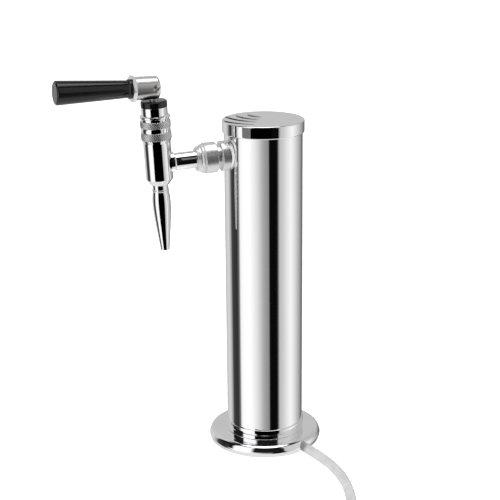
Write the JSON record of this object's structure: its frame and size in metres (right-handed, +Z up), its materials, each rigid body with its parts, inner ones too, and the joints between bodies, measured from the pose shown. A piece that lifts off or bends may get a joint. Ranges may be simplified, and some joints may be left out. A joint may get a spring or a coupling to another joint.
{
  "type": "beer tap tower",
  "caption": "Counter-top draft column with a lift-off cap, shank-mounted slow-pour faucet, cam lever handle and a coiled beer line.",
  "frame": {"origin": "centre of the base's mounting face", "axes": "+Z up the column, the faucet faces -Y, +X to the right of a person pulling beer seen from behind the tower"},
  "size_m": [0.3492, 0.2571, 0.3797],
  "materials": {
    "chrome_bright": "polished",
    "column_chrome": "polished",
    "knurled_steel": "knurled satin",
    "brushed_hub": "fine turned",
    "satin_nickel": "satin plated",
    "ferrule_steel": "satin",
    "steel": "machined",
    "brass": "nickel-plated",
    "black_plastic": "glossy moulded",
    "black_cap": "satin moulded",
    "seal_rubber": "moulded",
    "foam": "closed-cell foam",
    "vinyl": "clear flexible vinyl"
  },
  "bodies": {
    "tower": {"adjuster_collar": "chrome_bright", "base_flange": "chrome_bright", "base_gasket": "seal_rubber", "beer_nut": "brass", "body_collar": "chrome_bright", "bonnet": "chrome_bright", "bonnet_cap": "black_cap", "collar_ring": "chrome_bright", "column_tube": "column_chrome", "coupling_nut": "satin_nickel", "coupling_washer": "seal_rubber", "end_clamp": "steel", "end_nut": "brass", "end_tailpiece": "steel", "faucet_body": "chrome_bright", "flow_restrictor": "steel", "foam_sleeve": "foam", "hose_coil": "vinyl", "hose_end": "vinyl", "hose_free": "vinyl", "hose_inner": "vinyl", "knurled_ring_lower": "knurled_steel", "knurled_ring_upper": "knurled_steel", "saddle_washer": "steel", "shank_collar": "satin_nickel", "shank_locknut": "brass", "shank_nipple": "steel", "spout": "chrome_bright", "tail_clamp": "steel", "tail_washer": "seal_rubber", "tailpiece_elbow": "steel"},
    "cap": {"column_cap": "chrome_bright"},
    "plunger": {"plunger_stem": "steel", "seat_seal": "seal_rubber", "piston_oring": "seal_rubber", "plunger_spring": "steel"},
    "lever": {"lever_hub": "brushed_hub", "pivot_screw": "steel", "ferrule_nut": "ferrule_steel", "handle_stud": "steel", "handle_grip": "black_plastic"}
  },
  "joints": [
    {"name": "cap_lift", "type": "slide", "parent": "tower", "child": "cap", "axis": [0, 0, 1], "range_m": [0, 0.06]},
    {"name": "plunger_lift", "type": "slide", "parent": "tower", "child": "plunger", "axis": [0, -0.0487, 0.9988], "range_m": [-0.00597, 0], "deforming": ["plunger_spring"]},
    {"name": "lever_tilt", "type": "hinge", "parent": "plunger", "child": "lever", "pos_m": [0, -0.10591, 0.36658], "axis": [-0.9949, -0.1009, -0.0049], "range_deg": [0, 90]}
  ],
  "couplings": [
    {"joint": "plunger_lift", "follows": "lever_tilt", "m_per_rad": -0.0038}
  ]
}
